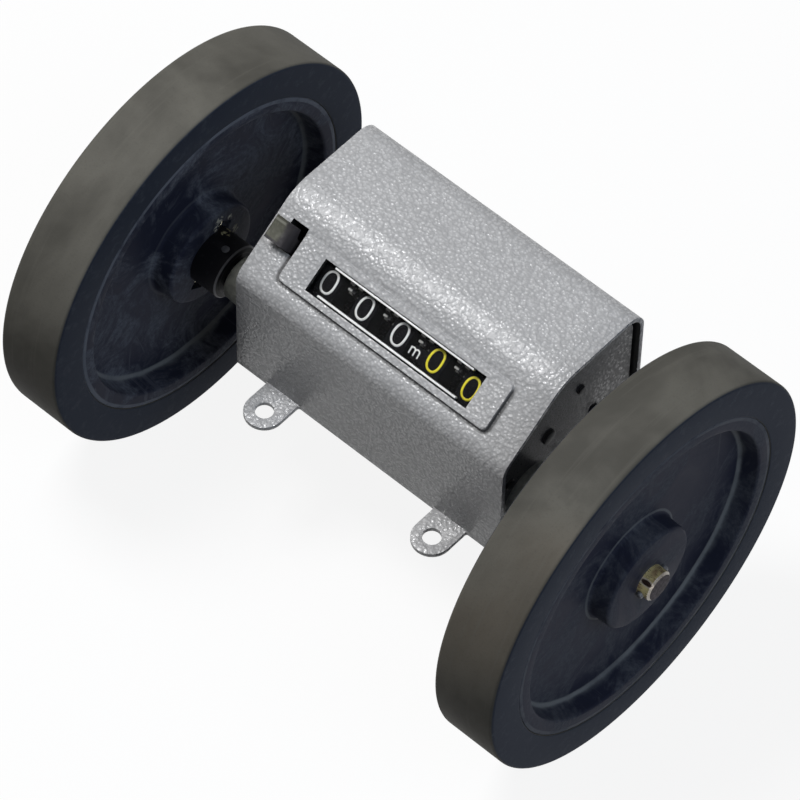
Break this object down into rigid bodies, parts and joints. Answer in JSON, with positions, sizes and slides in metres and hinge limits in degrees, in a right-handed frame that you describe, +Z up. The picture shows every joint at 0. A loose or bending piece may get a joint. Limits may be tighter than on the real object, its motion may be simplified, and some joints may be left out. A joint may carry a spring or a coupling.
{
  "type": "cable length counter",
  "caption": "Mechanical length counter: measuring wheels on a through axle turn number drums behind a sloped window in a hammered-paint housing with screw-down ears and a reset lever.",
  "frame": {"origin": "middle of the wheel axle, on its axis, halfway between the wheels", "axes": "+X along the axle to the right-hand wheel as seen from the window side, +Y to the back of the housing, +Z up from the base plate"},
  "size_m": [0.1594, 0.1062, 0.1062],
  "materials": {
    "hammered_paint": "silver-grey hammered enamel on sheet steel",
    "plated_steel": "bright zinc plating",
    "yellow_zinc": "yellow-passivated zinc plating, a little worn",
    "bronze": "sintered bronze, oiled",
    "black_steel": "blackened steel, satin",
    "hub_plastic": "blue-black moulded plastic, dusty",
    "tread_rubber": "worn brownish-black rubber",
    "drum_black": "satin black moulding with raised white or yellow numerals",
    "gear_nylon": "natural nylon",
    "carry_nylon": "black nylon",
    "gear_brass": "cut brass",
    "clear_pane": "clear polished sheet",
    "bright_strip": "bright polished strip",
    "lever_steel": "olive-grey phosphated sheet steel, rubbed edges",
    "spring_steel": "hard-drawn spring wire"
  },
  "bodies": {
    "housing": {"base_plate": "hammered_paint", "cover": "hammered_paint", "end_plate_left": "hammered_paint", "end_plate_right": "hammered_paint", "window_pane": "clear_pane", "pane_clips": "bright_strip", "bearing_bush_left": "bronze", "bearing_bush_right": "bronze", "idler_stud": "plated_steel", "drum_shaft": "black_steel", "front_tie_rod": "black_steel", "carrier_rod": "black_steel", "reset_rod": "black_steel", "reset_spring": "spring_steel", "cover_screws": "plated_steel", "base_screws": "plated_steel", "pinion_carrier_1": "black_steel", "pinion_carrier_2": "black_steel", "pinion_carrier_3": "black_steel", "pinion_carrier_4": "black_steel"},
    "wheel_axle": {"axle": "yellow_zinc", "collar_left": "black_steel", "collar_right": "black_steel", "collar_pins": "plated_steel", "wheel_hub_left": "hub_plastic", "wheel_hub_right": "hub_plastic", "tyre_left": "tread_rubber", "tyre_right": "tread_rubber", "drive_pins": "yellow_zinc", "hold_pins": "plated_steel", "drive_gear": "gear_brass"},
    "idler": {"idler_gear": "gear_nylon"},
    "drum_5": {"number_drum_5": "drum_black", "drum_pinion": "gear_nylon"},
    "lever": {"reset_lever": "lever_steel"},
    "comb": {"reset_comb": "plated_steel"},
    "drum_1": {"number_drum_1": "drum_black"},
    "pinion_1": {"carry_pinion_1": "carry_nylon"},
    "drum_2": {"number_drum_2": "drum_black"},
    "pinion_2": {"carry_pinion_2": "carry_nylon"},
    "drum_3": {"number_drum_3": "drum_black"},
    "pinion_3": {"carry_pinion_3": "carry_nylon"},
    "drum_4": {"number_drum_4": "drum_black"},
    "pinion_4": {"carry_pinion_4": "carry_nylon"}
  },
  "joints": [
    {"name": "axle_spin", "type": "hinge", "parent": "housing", "child": "wheel_axle", "pos_m": [0, 0, 0], "axis": [1, 0, 0], "continuous": true},
    {"name": "idler_spin", "type": "hinge", "parent": "housing", "child": "idler", "pos_m": [0.035, 0.01124, 0.00419], "axis": [1, 0, 0], "continuous": true},
    {"name": "drum_5_spin", "type": "hinge", "parent": "housing", "child": "drum_5", "pos_m": [0.02196, 0.00662, 0.01395], "axis": [1, 0, 0], "continuous": true},
    {"name": "drum_4_spin", "type": "hinge", "parent": "housing", "child": "drum_4", "pos_m": [0.01108, 0.00662, 0.01395], "axis": [1, 0, 0], "continuous": true},
    {"name": "drum_3_spin", "type": "hinge", "parent": "housing", "child": "drum_3", "pos_m": [0.0002, 0.00662, 0.01395], "axis": [1, 0, 0], "continuous": true},
    {"name": "drum_2_spin", "type": "hinge", "parent": "housing", "child": "drum_2", "pos_m": [-0.01068, 0.00662, 0.01395], "axis": [1, 0, 0], "continuous": true},
    {"name": "drum_1_spin", "type": "hinge", "parent": "housing", "child": "drum_1", "pos_m": [-0.02156, 0.00662, 0.01395], "axis": [1, 0, 0], "continuous": true},
    {"name": "pinion_4_spin", "type": "hinge", "parent": "housing", "child": "pinion_4", "pos_m": [0.01678, 0.00476, 0.02142], "axis": [1, 0, 0], "continuous": true},
    {"name": "pinion_3_spin", "type": "hinge", "parent": "housing", "child": "pinion_3", "pos_m": [0.0059, 0.00476, 0.02142], "axis": [1, 0, 0], "continuous": true},
    {"name": "pinion_2_spin", "type": "hinge", "parent": "housing", "child": "pinion_2", "pos_m": [-0.00498, 0.00476, 0.02142], "axis": [1, 0, 0], "continuous": true},
    {"name": "pinion_1_spin", "type": "hinge", "parent": "housing", "child": "pinion_1", "pos_m": [-0.01586, 0.00476, 0.02142], "axis": [1, 0, 0], "continuous": true},
    {"name": "reset_lever_swing", "type": "hinge", "parent": "housing", "child": "lever", "pos_m": [-0.033, 0.00662, 0.01395], "axis": [-1, 0, 0], "range_deg": [0, 12], "stiffness_Nm_per_rad": 0.02, "springref_deg": -8.59},
    {"name": "reset_comb_swing", "type": "hinge", "parent": "housing", "child": "comb", "pos_m": [-0.03, 0.02259, 0.00814], "axis": [-1, 0, 0], "range_deg": [-18, 0]}
  ],
  "couplings": [
    {"joint": "idler_spin", "follows": "axle_spin", "ratio": -1.6667},
    {"joint": "drum_5_spin", "follows": "axle_spin", "ratio": 3.3333},
    {"joint": "drum_4_spin", "follows": "axle_spin", "ratio": 0.33333},
    {"joint": "pinion_4_spin", "follows": "axle_spin", "ratio": -0.83333},
    {"joint": "drum_3_spin", "follows": "axle_spin", "ratio": 0.033333},
    {"joint": "pinion_3_spin", "follows": "axle_spin", "ratio": -0.083333},
    {"joint": "drum_2_spin", "follows": "axle_spin", "ratio": 0.0033333},
    {"joint": "pinion_2_spin", "follows": "axle_spin", "ratio": -0.0083333},
    {"joint": "drum_1_spin", "follows": "axle_spin", "ratio": 0.00033333},
    {"joint": "pinion_1_spin", "follows": "axle_spin", "ratio": -0.00083333},
    {"joint": "reset_comb_swing", "follows": "reset_lever_swing", "ratio": -1.5}
  ]
}
